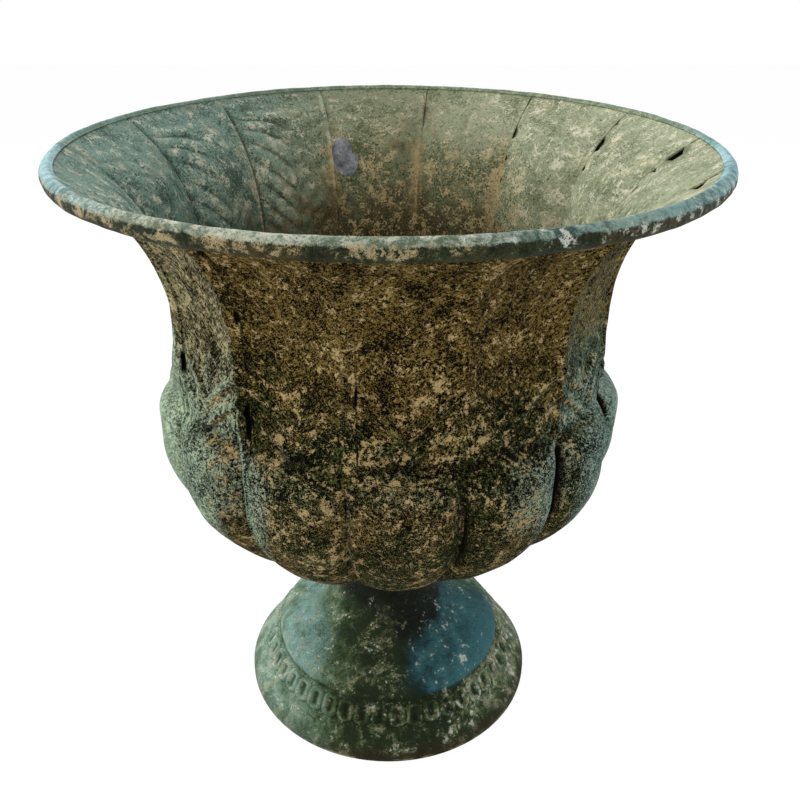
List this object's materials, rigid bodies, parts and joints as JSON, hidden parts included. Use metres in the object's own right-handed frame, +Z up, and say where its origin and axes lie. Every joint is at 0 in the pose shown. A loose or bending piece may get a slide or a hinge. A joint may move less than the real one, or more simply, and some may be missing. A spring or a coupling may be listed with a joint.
{
  "type": "metal urn vase",
  "caption": "Flared garden urn of lapped pressed metal panels with leaf and lobe relief, a rolled rim and a hollow pedestal foot.",
  "frame": {"origin": "on the ground under the middle of the foot", "axes": "+Z up along the urn's axis, front of the pictured view towards -Y"},
  "size_m": [0.272, 0.272, 0.2799],
  "materials": {
    "panel_paint": "weathered green paint with tan bloom",
    "rim_paint": "weathered blue-green paint",
    "foot_paint": "weathered blue-green paint",
    "fastener_steel": "dull oxidised steel",
    "solder": "dull grey solder"
  },
  "bodies": {
    "root": {"panel_01": "panel_paint", "panel_02": "panel_paint", "panel_03": "panel_paint", "panel_04": "panel_paint", "panel_05": "panel_paint", "panel_06": "panel_paint", "panel_07": "panel_paint", "panel_08": "panel_paint", "panel_09": "panel_paint", "panel_10": "panel_paint", "panel_11": "panel_paint", "panel_12": "panel_paint", "panel_13": "panel_paint", "panel_14": "panel_paint", "rim_hoop": "rim_paint", "clamp_disc": "panel_paint", "support_disc": "panel_paint", "pedestal": "foot_paint", "bolt": "fastener_steel", "bolt_washer": "fastener_steel", "nut_washer": "fastener_steel", "nut": "fastener_steel", "solder_tack": "solder"}
  },
  "joints": []
}
